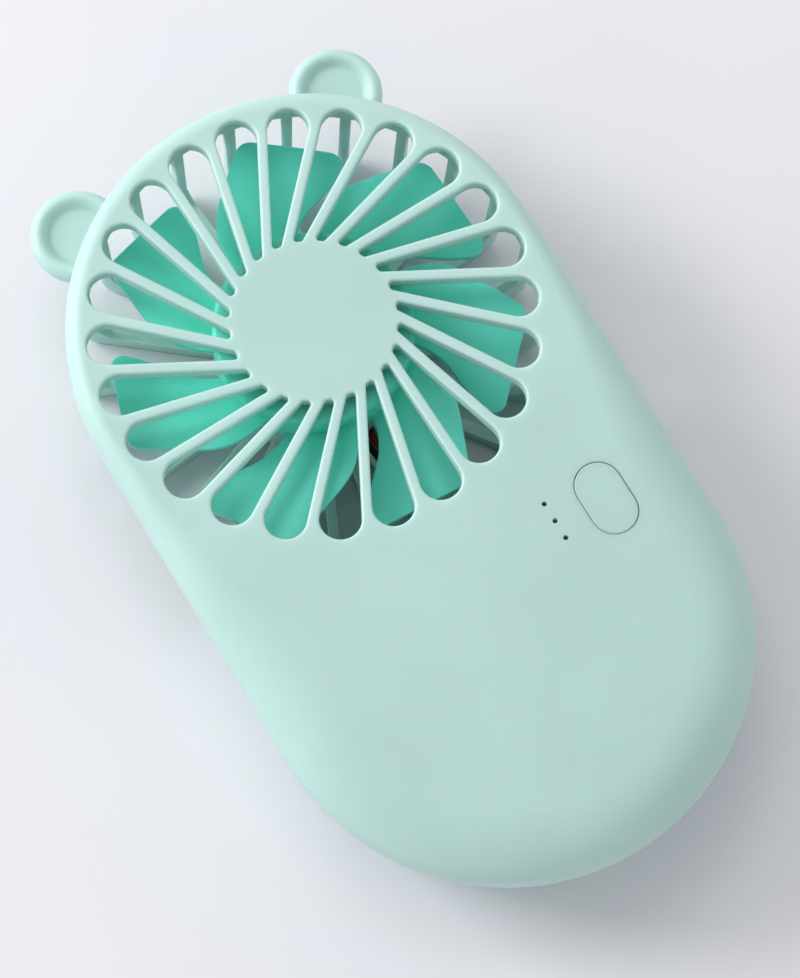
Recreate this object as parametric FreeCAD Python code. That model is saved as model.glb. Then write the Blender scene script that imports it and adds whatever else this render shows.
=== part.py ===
import FreeCAD, Part
import math
import os

V = FreeCAD.Vector
X_AXIS = V(1, 0, 0)
Z_AXIS = V(0, 0, 1)

# A pocket fan that lies on its back: +Z comes out of the front grille, +Y points to the ears.
# Every function below works with the impeller axis at x = 0, y = 0 and the back at z = 0;
# export() then shifts the part along Y, so that the origin is the bottom centre of the body's box.

# ------------------------------------------------------------------ driving sizes, in mm
# Body outline: a round head and a round foot joined by straight sides.
body_half_width = 36.0
foot_distance = 53.0            # impeller axis to the centre of the round foot
body_thickness = 23.5
parting_depth = 7.5             # front face to the split between the two shells
shell_gap = 0.10                # assembly gap between the two shells
moulding_gap = 0.15             # gap between one moulding and another that nests in it

# Front shell.
front_plate = 2.0
front_wall = 1.6
head_edge_width = 2.5           # width and depth of the rounded edge round the head
head_edge_depth = 3.0
foot_edge_width = 9.0           # the same round the foot
foot_edge_depth = 5.3
inner_head_edge = 0.4           # the inside corner round the head is all but sharp
inner_edge_step = 0.6           # the inside edge round the foot is this much tighter than outside

# Front grille.
slot_count = 24
slot_inner_radius = 12.2
slot_first_angle = 5.15         # direction of the first slot's outer end, degrees from +X
slot_swirl = 20.0               # how far each slot's inner end leads its outer end, degrees
spoke_width = 1.5
spoke_depth = 2.4
slot_outer_corner = 3.05
slot_inner_corner = 0.52
slot_lip_round = 0.35
slot_skin_overlap = 0.45        # how far the slotted disc runs into the shell round it

# Ears.
ear_angle = 36.0                # either side of +Y, degrees
ear_stand_out = 1.6             # side of the head to ear centre
ear_radius = 7.0
ear_depth = 4.6                 # front face to the ear's rim
ear_dish_depth = 1.1
ear_dish_radius = 3.8
ear_crown_radius = 5.9
ear_back_corner = 0.5

# Power button and status lights.
button_width = 7.0
button_length = 11.2
button_x = 22.2
button_drop = 10.05             # chamber wall to the middle of the button
button_gap = 0.12
button_play = 0.02              # flange to the plate it stops against
button_travel = 0.30
button_flange = 0.8             # how far the inner flange stands out, and its thickness
button_rim_round = 0.2
button_stem_radius = 1.4
collar_wall = 0.9
collar_depth = 1.2              # length of the stem under the flange
collar_spare = 0.3              # how far the collar reaches below the pressed flange
light_x = 14.1
light_drop = 9.15               # chamber wall to the middle of the row of lights
light_pitch = 2.9
light_count = 3
light_hole_radius = 0.38
light_shade_width = 2.6
light_shade_gap = 0.4           # status lights to the shade over them

# Rear shell.
rear_inset = 0.6                # the rear shell stands this far inside the front shell
rear_wall = 1.6
rear_floor = 1.8
rear_edge_width = 9.0
rear_edge_depth = 15.0
tray_top = 24.5                 # impeller axis to the top end of the battery tray
nest_wall = 1.25                # lip and ring that nest inside the front shell
nest_height = 0.9
ring_depth = 4.0                # front face to the lower edge of the ring round the impeller
end_wall_inset = 4.0            # keeps the tray's end walls clear of the front shell's inside corner
under_lip_height = 2.0          # where the nesting lip is joined to the tray's wall

# Rear grille.
basket_inset = 1.6              # the posts stand this far inside the front shell
rib_first_angle = 5.9           # direction of the first rib, degrees from +X
rib_width = 1.6
post_depth = 1.7                # radial depth of a side post
rib_rim_height = 3.4
rib_hub_height = 2.6
post_corner = 2.2
duct_width = 2.9                # inside width of the lead duct
duct_wall = 0.8
duct_floor = 0.7

# Motor.
motor_radius = 12.2
motor_length = 12.3
motor_floor = 2.6               # thickness of the rear hub under the motor
motor_cup_wall = 1.3
motor_cup_height = 7.0          # back of the fan to the cup's rim
motor_grip = 0.05               # radial gap between the can and its cup
end_cap_gap = 0.02              # the same between the end cap and the can
shaft_eye = 0.4                 # radial gap round the shaft where it leaves the can
can_sheet = 0.5
can_edge_round = 0.9
can_boss_radius = 3.1
can_boss_height = 0.6
end_cap_thickness = 1.5
shaft_radius = 1.0
bush_gap = 0.03
bush_radius = 2.3
bush_length = 1.8
bush_floor = 0.3                # what closes each bush's seat
bush_holder_wall = 0.9
bush_holder_lift = 0.4
shaft_cap = 0.3                 # what closes the hub over the shaft
magnet_thickness = 1.7
magnet_span = 136.0
magnet_length = 8.4
magnet_lift = 0.8               # end cap to the magnets
armature_gap = 0.35
armature_lift = 2.9             # end cap to the armature
armature_length = 5.2
armature_teeth = 3
armature_core_radius = 3.4
tooth_width = 2.6
pole_thickness = 1.4
pole_span = 92.0
winding_thickness = 1.5
winding_core_gap = 0.9          # armature middle to a coil
winding_pole_gap = 0.2
winding_length = 1.0            # how far a coil stays short of its pole
winding_round = 0.7
commutator_radius = 2.2
commutator_length = 1.7
commutator_slit = 0.24
commutator_gap = 0.6            # end cap to commutator
brush_sheet = 0.2
brush_gap = 0.05
brush_width = 1.2
brush_front = 3.0               # how far a brush reaches either way past the commutator
brush_back = 4.5
terminal_sheet = 0.3
terminal_width = 1.4
terminal_stand = 0.9            # how far each tab stands up inside the motor
terminal_slot_gap = 0.1
terminal_reach = 7.5            # motor axis to each solder tab
lead_turn_in = 4.0              # where the leads turn into the duct

# Impeller.
blade_count = 7
blade_tip_gap = 2.3             # blade tips to the chamber wall
blade_thickness = 1.1
blade_front_gap = 1.3           # grille spokes to the blades' front edges
blade_rise_root = 6.6           # height from rear edge to front edge, at the hub
blade_rise_tip = 5.4            # the same at the tip
blade_tip_droop = 2.8           # how much lower the front edge lies at the tip than at the hub
blade_camber = 0.5
blade_front_root = 12.8         # centre line to the counter-clockwise edge, at the hub
blade_front_bulge = 13.2        # the same where the blade is broadest
blade_front_tip = 8.9           # the same at the tip
blade_rear_root = 1.8           # centre line to the clockwise edge, at the hub; both lie on one side
blade_rear_tip = -7.9           # the same at the tip
blade_first_angle = 11.4        # direction of the first blade's centre line
blade_front_corner = 2.4
blade_rear_corner = 1.8
blade_edge_start = 0.3          # how far inside the hub's rim the broad front edge begins
blade_sheet_spare = 1.5         # how far the untrimmed sheet runs past the blade's outline
hub_motor_gap = 1.3
hub_wall = 1.3
hub_plate = 1.4
hub_top_gap = 0.9               # grille spokes to the impeller hub
hub_skirt = 8.4                 # length of the hub's skirt
hub_edge_round = 0.8
shaft_boss_radius = 2.6
shaft_boss_gap = 0.3            # motor can to the hub's shaft boss
shaft_rear_gap = 0.05           # floor of the rear bush to the shaft's end

# Circuit board and what stands on it.
board_thickness = 1.0
board_left = -12.0
board_side_gap = 6.4            # inside of the front shell to the board's right edge
board_chamber_gap = 4.25        # chamber wall to the board's top edge
board_upper_length = 20.5       # length of the board's broad part
board_tongue = 9.0              # half width of the board's narrow end
switch_side = 4.2
switch_body_height = 2.1
switch_plunger_radius = 0.95
switch_plunger_height = 0.9
switch_well = 0.5               # height of the floor under the plunger
switch_play = 0.1
switch_leg_size = (0.9, 0.7, 0.2)
light_size = (1.6, 0.8, 0.6)
charger_chip = (5.0, 4.0, 1.5)
charger_x = 2.0
charger_drop = 11.5             # board's top edge to the chip's middle, as for the next two
mosfet_chip = (3.0, 1.6, 1.1)
mosfet_x = -6.5
mosfet_drop = 10.5
resistor_size = (1.0, 0.5, 0.4)
resistor_count = 4
resistor_x = 13.5
resistor_pitch = 2.2
resistor_drop = 15.0
capacitor_size = (1.6, 0.8, 0.8)
capacitor_count = 3
capacitor_x = -4.0
capacitor_pitch = 4.0
capacitor_drop = 5.0            # end of the board's broad part to the first capacitor
usb_width = 7.5
usb_height = 2.5
usb_length = 5.6
usb_sheet = 0.3
usb_corner = 0.7
usb_back = 0.8                  # closed end of the socket
usb_recess = 0.9                # body surface to the socket's mouth
usb_overhang = 3.5              # how far the socket stands out over the board's end
usb_clearance = 0.35
usb_roof_clearance = 0.15
usb_tongue_width = 3.7
usb_tongue_thickness = 0.65
usb_tongue_lift = 0.75          # floor of the socket's shell to the tongue
usb_tongue_set_back = 0.7

# Battery.
battery_width = 36.0
battery_length = 34.0
battery_thickness = 8.0
battery_round = 1.6
battery_pad = 0.8
battery_gap = 5.0               # chamber wall to battery
guard_board_height = 4.4
guard_board_thickness = 0.8
guard_board_share = 0.72        # of the battery's width
pad_width_share = 0.3
pad_length_share = 0.8
pad_offset_share = 0.27         # battery middle to the middle of each pad

# Fasteners.
upper_screw_gap = 7.6           # chamber wall to the upper screws' axes
upper_screw_angle = 48.8        # below X, seen from the impeller axis
lower_screw_gap = 5.1           # inside of the front shell to the lower screws' axes
lower_screw_angle = 30.8        # below X, seen from the centre of the round foot
screw_radius = 1.0
screw_head_radius = 1.8
screw_head_height = 1.3
screw_length = 8.0
screw_clearance = 0.15
screw_seat = 9.0                # height of the seat that a screw head pulls against
screw_web = 1.6
screw_boss_wall = 1.3
screw_boss_inset = 0.5          # keeps the bosses inside the rear shell's outer surface
screw_edge_round = 0.35
board_screw_radius = 0.8
board_screw_head_radius = 1.5
board_screw_head_height = 1.0
board_screw_length = 4.0
board_screw_margin = 3.4        # board edges to a board screw
board_boss_wall = 1.0
recess_width = 0.5              # cross recess in every screw head

# Leads.
lead_radius = 0.45
lead_spacing = 1.3
lead_floor_gap = 0.05
motor_lead_wall_gap = 1.6       # chamber wall to the rising motor leads
motor_lead_inset = 2.2          # board's top edge to the motor leads' joints
battery_lead_x = -6.0
battery_lead_reach = 1.9        # guard board to the riser of the battery leads, and riser to board
battery_lead_inset = 1.2        # board's top edge to the battery leads' joints

# ------------------------------------------------------------------ worked-out places
front_z = body_thickness
parting_z = front_z - parting_depth
plate_z = front_z - front_plate
root_z = plate_z + front_plate / 4              # where features inside the front shell are rooted
spoke_z = front_z - spoke_depth
ring_low_z = front_z - ring_depth
nest_top_z = plate_z - moulding_gap
ear_z = front_z - ear_depth
rear_half_width = body_half_width - rear_inset
rear_top_z = parting_z - shell_gap
front_inner = body_half_width - front_wall
nest_radius = front_inner - moulding_gap
chamber_radius = nest_radius - nest_wall        # inside of the ring round the impeller
slot_outer_radius = chamber_radius
slot_pitch = 360.0 / slot_count
disc_radius = slot_outer_radius + slot_skin_overlap
ear_reach = body_half_width + ear_stand_out
hub_radius = motor_radius + hub_motor_gap + hub_wall
blade_tip_radius = chamber_radius - blade_tip_gap
button_y = -(nest_radius + button_drop)
light_y = -(nest_radius + light_drop)
button_flange_z = plate_z - button_flange
stem_end_z = button_flange_z - collar_depth
board_z = stem_end_z - switch_plunger_height - switch_body_height
board_under_z = board_z - board_thickness
motor_z = motor_floor
motor_top_z = motor_z + motor_length
end_cap_z = motor_z + end_cap_thickness
armature_low_z = end_cap_z + armature_lift
armature_high_z = armature_low_z + armature_length
armature_radius = motor_radius - can_sheet - magnet_thickness - armature_gap
commutator_z = end_cap_z + commutator_gap
hub_top_z = spoke_z - hub_top_gap
hub_under_z = hub_top_z - hub_plate
blade_front_z = spoke_z - blade_front_gap - blade_thickness / 2
shaft_low_z = motor_z + bush_floor + shaft_rear_gap
shaft_high_z = hub_top_z - shaft_cap
battery_z = rear_floor + battery_pad
battery_top_z = battery_z + battery_thickness
battery_top_y = -(nest_radius + battery_gap)
battery_foot_y = battery_top_y - battery_length
usb_mouth_y = -(foot_distance + rear_half_width - usb_recess)
board_right = front_inner - board_side_gap
board_top_y = -(nest_radius + board_chamber_gap)
board_step_y = board_top_y - board_upper_length
board_foot_y = usb_mouth_y + usb_overhang
board_screw_places = (
    (board_left + board_screw_margin, board_top_y - board_screw_margin),
    (board_right - board_screw_margin, board_step_y + board_screw_margin),
)
head_top_y = max(body_half_width, ear_reach * math.cos(math.radians(ear_angle)) + ear_radius)
fan_y = (foot_distance + body_half_width - head_top_y) / 2
rib_angles = [rib_first_angle + slot_pitch * k for k in range(slot_count)]


# ------------------------------------------------------------------ general helpers
def polar(radius, angle, z=0.0):
    turn = math.radians(angle)
    return V(radius * math.cos(turn), radius * math.sin(turn), z)


def cylinder(radius, z0, z1, x=0.0, y=0.0):
    return Part.makeCylinder(radius, z1 - z0, V(x, y, z0))


def tube(outer, inner, z0, z1, x=0.0, y=0.0):
    return cylinder(outer, z0, z1, x, y).cut(cylinder(inner, z0, z1, x, y))


def block(x0, x1, y0, y1, z0, z1):
    return Part.makeBox(x1 - x0, y1 - y0, z1 - z0, V(x0, y0, z0))


def centred_block(size, x, y, z0):
    return block(x - size[0] / 2, x + size[0] / 2, y - size[1] / 2, y + size[1] / 2, z0, z0 + size[2])


def union(shapes):
    whole = shapes[0].multiFuse(shapes[1:]) if len(shapes) > 1 else shapes[0]
    return whole.removeSplitter()


def prism(points, z0, z1):
    wire = Part.makePolygon([V(p[0], p[1], z0) for p in points] + [V(points[0][0], points[0][1], z0)])
    return Part.Face(wire).extrude(V(0, 0, z1 - z0))


def spun(points, angle=360.0):
    """Turns a closed outline of (radius, z) points about the Z axis, starting from +X."""
    wire = Part.makePolygon([V(r, 0, z) for r, z in points] + [V(points[0][0], 0, points[0][1])])
    return Part.Face(wire).revolve(V(0, 0, 0), Z_AXIS, angle)


def pill(width, length, z0, z1, x, y):
    """An upright prism with round ends, its long side along Y."""
    radius = width / 2
    reach = length / 2 - radius
    body = block(x - radius, x + radius, y - reach, y + reach, z0, z1)
    ends = [cylinder(radius, z0, z1, x, y + side * reach) for side in (-1, 1)]
    return union([body] + ends)


def turned(shape, angle):
    copy = shape.copy()
    copy.rotate(V(0, 0, 0), Z_AXIS, angle)
    return copy


def export(shape, name):
    placed = shape.copy()
    placed.translate(V(0, fan_y, 0))
    placed.exportStep("parts/" + name + ".step")


# ------------------------------------------------------------------ body outline
def edge_wire(radius, z_top, width, depth, y):
    """Outline of what a rounded edge takes off, in the plane at y: a quarter ellipse and a corner."""
    start = V(radius - width, y, z_top)
    end = V(radius, y, z_top - depth)
    curve = Part.BezierCurve()
    curve.setPoles([start, V(radius, y, z_top), end])
    curve.setWeight(2, math.sqrt(0.5))
    low = V(radius + 1, y, z_top - depth)
    far = V(radius + 1, y, z_top + 1)
    back = V(radius - width, y, z_top + 1)
    lines = [Part.makeLine(a, b) for a, b in ((end, low), (low, far), (far, back), (back, start))]
    return Part.Wire([curve.toShape()] + lines)


def stadium(radius, z0, z1):
    middle = block(-radius, radius, -foot_distance, 0, z0, z1)
    return union([middle, cylinder(radius, z0, z1), cylinder(radius, z0, z1, 0, -foot_distance)])


def rounded_stadium(radius, z0, z1, head_edge, foot_edge):
    """The body outline as a solid, its top edge rounded by (width, depth), easing from head to foot."""
    foot = V(0, -foot_distance, 0)
    head_cut = Part.Face(edge_wire(radius, z1, *head_edge, 0)).revolve(V(0, 0, 0), Z_AXIS, 180)
    foot_face = Part.Face(edge_wire(radius, z1, *foot_edge, -foot_distance))
    foot_cut = foot_face.revolve(foot, Z_AXIS, -180)
    wires = []
    for share in (0.0, 0.06, 0.25, 0.5, 0.75, 0.94, 1.0):
        inner = min(max((share - 0.06) / 0.88, 0.0), 1.0)
        ease = inner * inner * (3 - 2 * inner)
        size = [h + (f - h) * ease for h, f in zip(head_edge, foot_edge)]
        wires.append(edge_wire(radius, z1, *size, -foot_distance * share))
    right_cut = Part.makeLoft(wires, True, False)
    left_cut = right_cut.mirror(V(0, 0, 0), X_AXIS)
    return stadium(radius, z0, z1).cut([head_cut, foot_cut, right_cut, left_cut])


# ------------------------------------------------------------------ front shell
def slot_prism(z0, z1):
    """One grille slot: straight sides along the spokes, with round corners."""
    half = spoke_width / 2
    sides = []
    for step, shift in ((-0.5, half), (0.5, -half)):
        outer = polar(slot_outer_radius, slot_first_angle + step * slot_pitch)
        inner = polar(slot_inner_radius, slot_first_angle + step * slot_pitch + slot_swirl)
        along = (outer - inner).normalize()
        across = V(-along.y, along.x, 0)
        sides.append((inner + across * shift - along * 4, outer + across * shift + along * 4))
    (a0, a1), (b0, b1) = sides
    wedge = prism([a0, a1, b1, b0], z0, z1)
    ring = tube(slot_outer_radius, slot_inner_radius, z0, z1)
    slot = wedge.common(ring).Solids[0]
    outer_edges = [e for e in slot.Edges if upright_at(e, slot_outer_radius)]
    slot = slot.makeFillet(slot_outer_corner, outer_edges)
    inner_edges = [e for e in slot.Edges if upright_at(e, slot_inner_radius)]
    return slot.makeFillet(slot_inner_corner, inner_edges)


def upright_at(edge, radius):
    start = edge.Vertexes[0].Point
    end = edge.Vertexes[-1].Point
    upright = abs(start.x - end.x) + abs(start.y - end.y) < 1e-6
    return upright and abs(math.hypot(start.x, start.y) - radius) < 1e-3


def grille():
    """The flat disc with its slots and spokes, its slot edges softly rounded in front."""
    skin = cylinder(disc_radius, plate_z, front_z)
    spokes = cylinder(chamber_radius - moulding_gap, spoke_z, plate_z)
    disc = union([skin, spokes])
    slot = slot_prism(spoke_z - 1, front_z + 1)
    disc = disc.cut([turned(slot, slot_pitch * k) for k in range(slot_count)])
    lips = [e for e in disc.Edges if front_lip(e)]
    return disc.makeFillet(slot_lip_round, lips)


def front_lip(edge):
    box = edge.BoundBox
    flat = abs(box.ZMin - front_z) < 1e-5 and abs(box.ZMax - front_z) < 1e-5
    middle = edge.valueAt((edge.FirstParameter + edge.LastParameter) / 2)
    return flat and math.hypot(middle.x, middle.y) < slot_outer_radius + 1e-3


def ear(side):
    """A dished disc with a round rim, which grows out of the side of the head."""
    low = parting_z
    high = ear_z
    floor = high - ear_dish_depth
    centre = polar(ear_reach, 90 - side * ear_angle)
    crown = Part.BSplineCurve()
    knots = (
        (ear_dish_radius, floor),
        (ear_dish_radius + 0.7, floor + 0.25 * ear_dish_depth),
        (ear_crown_radius - 0.7, high - 0.12 * ear_dish_depth),
        (ear_crown_radius, high),
        (ear_radius - 0.35, high - 0.45),
        (ear_radius, high - 1.3),
    )
    crown.interpolate([V(r, 0, z) for r, z in knots])
    corner = ear_back_corner
    path = [
        V(ear_radius, 0, high - 1.3),
        V(ear_radius, 0, low + corner),
        V(ear_radius - corner, 0, low),
        V(0, 0, low),
        V(0, 0, floor),
        V(ear_dish_radius, 0, floor),
    ]
    edges = [Part.makeLine(a, b) for a, b in zip(path, path[1:])]
    disc = Part.Face(Part.Wire([crown.toShape()] + edges)).revolve(V(0, 0, 0), Z_AXIS, 360)
    disc.translate(centre)
    return disc.cut(cylinder(front_inner + front_wall / 2, low - 1, high + 1))


def screw_places():
    upper = polar(nest_radius + upper_screw_gap, -upper_screw_angle)
    lower = polar(front_inner - lower_screw_gap, -lower_screw_angle) - V(0, foot_distance, 0)
    return [(side * place.x, place.y) for place in (upper, lower) for side in (-1, 1)]


def light_places():
    first = -(light_count - 1) / 2
    return [(light_x, light_y + (first + k) * light_pitch) for k in range(light_count)]


def front_shell():
    outer = rounded_stadium(
        body_half_width,
        parting_z,
        front_z,
        (head_edge_width, head_edge_depth),
        (foot_edge_width, foot_edge_depth),
    )
    hollow = rounded_stadium(
        front_inner,
        parting_z - 1,
        plate_z,
        (inner_head_edge, inner_head_edge),
        (foot_edge_width - inner_edge_step, foot_edge_depth - inner_edge_step),
    )
    window = cylinder(disc_radius, parting_z, front_z + 1)
    skin = outer.cut([hollow, window])
    added = [skin, grille(), ear(-1), ear(1)]
    boss_low = screw_seat + screw_web + shell_gap
    for x, y in screw_places():
        added.append(cylinder(screw_radius + screw_boss_wall, boss_low, root_z, x, y))
    for x, y in board_screw_places:
        added.append(cylinder(board_screw_radius + board_boss_wall, board_z, root_z, x, y))
    collar_low = button_flange_z - button_travel - collar_spare
    wide = 2 * (button_gap + button_flange + moulding_gap)
    collar = pill(
        button_width + wide + 2 * collar_wall,
        button_length + wide + 2 * collar_wall,
        collar_low,
        root_z,
        button_x,
        button_y,
    )
    added.append(collar)
    shade_low = board_z + light_size[2] + light_shade_gap
    added.append(pill(light_shade_width, light_pitch * light_count, shade_low, root_z, light_x, light_y))
    shell = union(added)
    cuts = [pill(button_width + wide, button_length + wide, collar_low - 1, plate_z, button_x, button_y)]
    hole = pill(
        button_width + 2 * button_gap,
        button_length + 2 * button_gap,
        plate_z - 1,
        front_z + 1,
        button_x,
        button_y,
    )
    cuts.append(hole)
    for x, y in light_places():
        cuts.append(cylinder(light_hole_radius, board_z, front_z + 1, x, y))
        cuts.append(cylinder(2 * light_hole_radius, board_z, plate_z, x, y))
    for x, y in screw_places():
        cuts.append(cylinder(screw_radius, boss_low - 1, screw_seat + screw_length + 1, x, y))
    for x, y in board_screw_places:
        cuts.append(cylinder(board_screw_radius, board_z - 1, board_under_z + board_screw_length + 0.5, x, y))
    return shell.cut(cuts)


# ------------------------------------------------------------------ rear shell
def rear_tray():
    """The battery tray under the handle, with the wall that closes the fan chamber off."""
    edge = (rear_edge_width, rear_edge_depth)
    inner_edge = (rear_edge_width - inner_edge_step, rear_edge_depth - rear_floor)
    outer = rounded_stadium(rear_half_width, -rear_top_z, 0, edge, edge).mirror(V(0, 0, 0), Z_AXIS)
    hollow = rounded_stadium(rear_half_width - rear_wall, -rear_top_z - 1, -rear_floor, inner_edge, inner_edge)
    hollow = hollow.mirror(V(0, 0, 0), Z_AXIS)
    far = 2 * body_half_width + foot_distance
    above_tray = block(-far, far, -tray_top, far, -1, front_z)
    above_hollow = block(-far, far, -tray_top - rear_wall, far, -1, front_z)
    outer = outer.cut([above_tray, cylinder(chamber_radius, -1, front_z)])
    hollow = hollow.cut([above_hollow, cylinder(nest_radius, -1, front_z)])
    lip_low = rear_top_z - under_lip_height
    lip_high = parting_z + nest_height
    within = stadium(nest_radius - nest_wall, lip_low - 1, lip_high + 1)
    lip = stadium(nest_radius, lip_low, lip_high).cut([within, above_tray, cylinder(nest_radius, 0, front_z)])
    end_wall = block(-nest_radius, nest_radius, -tray_top - rear_wall, -tray_top, rear_floor, nest_top_z)
    end_wall = end_wall.common(stadium(front_inner - end_wall_inset, 0, front_z))
    end_wall = end_wall.cut(cylinder(chamber_radius, 0, front_z))
    reach = math.sqrt(nest_radius**2 - tray_top**2)
    closed = block(-reach, reach, -nest_radius - 1, -tray_top, -1, front_z)
    wall = tube(nest_radius, chamber_radius, 0, nest_top_z).common(closed)
    return [outer.cut(hollow), lip, end_wall, wall]


def bar(shape):
    """An upright slab along +X, as wide as a rib, from its outline of (distance, z) points."""
    points = [V(r, -rib_width / 2, z) for r, z in shape]
    return Part.Face(Part.makePolygon(points + [points[0]])).extrude(V(0, rib_width, 0))


def rib():
    """One rear grille rib along +X: a bar across the back that turns up into a side post."""
    outer = body_half_width - basket_inset
    inner = outer - post_depth
    ring_near = chamber_radius + 0.25 * nest_wall
    ring_far = chamber_radius + 0.75 * nest_wall
    ring_middle_z = (ring_low_z + nest_top_z) / 2
    return bar(
        [
            (motor_radius, 0),
            (outer - post_corner, 0),
            (outer - 0.3 * post_corner, 0.3 * post_corner),
            (outer, post_corner),
            (outer, rear_top_z),
            (ring_far, rear_top_z),
            (ring_far, ring_middle_z),
            (ring_near, ring_middle_z),
            (inner, rib_rim_height + post_corner),
            (inner - post_corner, rib_rim_height),
            (motor_radius, rib_hub_height),
        ]
    )


def inner_rib():
    """A rib of the closed side: only the bar, which ends in the chamber wall."""
    end = chamber_radius + nest_wall / 2
    return bar([(motor_radius, 0), (end, 0), (end, rib_rim_height), (motor_radius, rib_hub_height)])


def faces_tray(angle):
    return chamber_radius * math.sin(math.radians(angle)) < -tray_top - rib_width / 2


def duct_angle():
    return min(rib_angles, key=lambda a: abs((a + 90 + 180) % 360 - 180))


def lead_pocket():
    """The shallow pocket under the motor, from its two tabs to the duct."""
    half = duct_width / 2
    turn_in = polar(lead_turn_in + duct_width / 2, duct_angle())
    side = polar(half, duct_angle() + 90)
    depth = terminal_width
    reach = terminal_reach + depth
    outline = [
        V(-reach, depth, 0),
        V(-reach, -depth, 0),
        turn_in - side,
        turn_in + side,
        V(reach, -depth, 0),
        V(reach, depth, 0),
    ]
    return prism(outline, duct_floor, motor_floor + 1)


def rear_shell():
    ribs = []
    for angle in rib_angles:
        ribs.append(turned(inner_rib() if faces_tray(angle) else rib(), angle))
    ring = tube(nest_radius, chamber_radius, ring_low_z, nest_top_z)
    cup_radius = motor_radius + motor_grip + motor_cup_wall
    cup = cylinder(cup_radius, 0, motor_cup_height)
    half = duct_width / 2 + duct_wall
    duct = block(cup_radius - 1, chamber_radius + nest_wall / 2, -half, half, 0, motor_floor)
    shell = union(rear_tray() + ribs + [ring, cup, turned(duct, duct_angle())])
    cuts = [cylinder(motor_radius + motor_grip, motor_floor, front_z), lead_pocket()]
    half = duct_width / 2
    trench = block(lead_turn_in / 2, nest_radius + 1, -half, half, duct_floor, motor_floor + duct_wall)
    cuts.append(turned(trench, duct_angle()))
    edge = (rear_edge_width - screw_boss_inset, rear_edge_depth - screw_boss_inset)
    inside = rounded_stadium(rear_half_width - screw_boss_inset, -parting_z, -screw_boss_inset, edge, edge)
    inside = inside.mirror(V(0, 0, 0), Z_AXIS)
    bosses = []
    head_bore = screw_head_radius + screw_clearance
    for x, y in screw_places():
        boss = cylinder(head_bore + screw_boss_wall, 0, screw_seat + screw_web, x, y)
        bosses.append(boss.common(inside))
        cuts.append(cylinder(head_bore, -1, screw_seat, x, y))
        cuts.append(cylinder(screw_radius + screw_clearance, -1, screw_seat + screw_web + 1, x, y))
    mouth = block(
        -usb_width / 2 - usb_clearance,
        usb_width / 2 + usb_clearance,
        usb_mouth_y - 2 * usb_recess,
        usb_mouth_y + 2 * rear_wall,
        board_under_z - usb_height - usb_clearance,
        board_under_z + usb_roof_clearance,
    )
    along = [e for e in mouth.Edges if abs(e.tangentAt(e.FirstParameter).y) > 0.99]
    cuts.append(mouth.makeFillet(usb_corner, along))
    return union([shell] + bosses).cut(cuts)


# ------------------------------------------------------------------ power button
def power_button():
    """The pill-shaped cap, flush with the face, with the flange that keeps it in and the stem under it."""
    cap = pill(button_width, button_length, button_flange_z, front_z, button_x, button_y)
    rim = [e for e in cap.Edges if abs(e.BoundBox.ZMin - front_z) < 1e-5]
    cap = cap.makeFillet(button_rim_round, rim)
    flange = pill(
        button_width + 2 * button_flange,
        button_length + 2 * button_flange,
        button_flange_z,
        plate_z - button_play,
        button_x,
        button_y,
    )
    stem = cylinder(button_stem_radius, stem_end_z, button_flange_z + 0.1, button_x, button_y)
    return union([cap, flange, stem])


def switch_body():
    body = centred_block((switch_side, switch_side, switch_body_height), button_x, button_y, board_z)
    well_radius = switch_plunger_radius + switch_play
    well = cylinder(well_radius, board_z + switch_well, board_z + switch_body_height, button_x, button_y)
    return body.cut(well)


def switch_plunger():
    low = board_z + switch_well + button_travel + switch_play
    return cylinder(switch_plunger_radius, low, stem_end_z, button_x, button_y)


def switch_terminals():
    legs = []
    for sx in (-1, 1):
        for sy in (-1, 1):
            x = button_x + sx * (switch_side + switch_leg_size[0]) / 2
            y = button_y + sy * switch_side / 3
            legs.append(centred_block(switch_leg_size, x, y, board_z))
    return Part.makeCompound(legs)


# ------------------------------------------------------------------ motor
def motor_can():
    can = cylinder(motor_radius, motor_z, motor_top_z)
    rim = [e for e in can.Edges if abs(e.BoundBox.ZMin - motor_top_z) < 1e-5]
    can = can.makeFillet(can_edge_round, rim)
    inside = cylinder(motor_radius - can_sheet, motor_z - 1, motor_top_z - can_sheet)
    boss = cylinder(can_boss_radius, motor_top_z - can_sheet, motor_top_z + can_boss_height)
    bore = cylinder(bush_radius, motor_z, motor_top_z + can_boss_height - bush_floor)
    eye = cylinder(shaft_radius + shaft_eye, motor_z, motor_top_z + 2 * can_boss_height)
    return union([can.cut(inside), boss]).cut([bore, eye])


def motor_end_cap():
    cap = cylinder(motor_radius - can_sheet - end_cap_gap, motor_z, end_cap_z)
    holder = cylinder(bush_radius + bush_holder_wall, motor_z, end_cap_z + bush_holder_lift)
    bore = cylinder(bush_radius, motor_z + bush_floor, end_cap_z + 1)
    slot = (terminal_width + 2 * terminal_slot_gap, terminal_sheet + 2 * terminal_slot_gap, motor_length)
    slots = [centred_block(slot, side * terminal_reach, 0, motor_z - 1) for side in (-1, 1)]
    return union([cap, holder]).cut([bore] + slots)


def bush(z0):
    return tube(bush_radius, shaft_radius + bush_gap, z0, z0 + bush_length)


def motor_bushes():
    front_low = motor_top_z + can_boss_height - bush_floor - bush_length
    return Part.makeCompound([bush(motor_z + bush_floor), bush(front_low)])


def motor_shaft():
    return cylinder(shaft_radius, shaft_low_z, shaft_high_z)


def shell_arc(outer, thickness, low, high, span):
    """Part of a tube, its middle on +X."""
    arc = spun([(outer - thickness, low), (outer, low), (outer, high), (outer - thickness, high)], span)
    return turned(arc, -span / 2)


def motor_magnets():
    low = end_cap_z + magnet_lift
    arc = shell_arc(motor_radius - can_sheet, magnet_thickness, low, low + magnet_length, magnet_span)
    return Part.makeCompound([turned(arc, 90 * side) for side in (-1, 1)])


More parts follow.
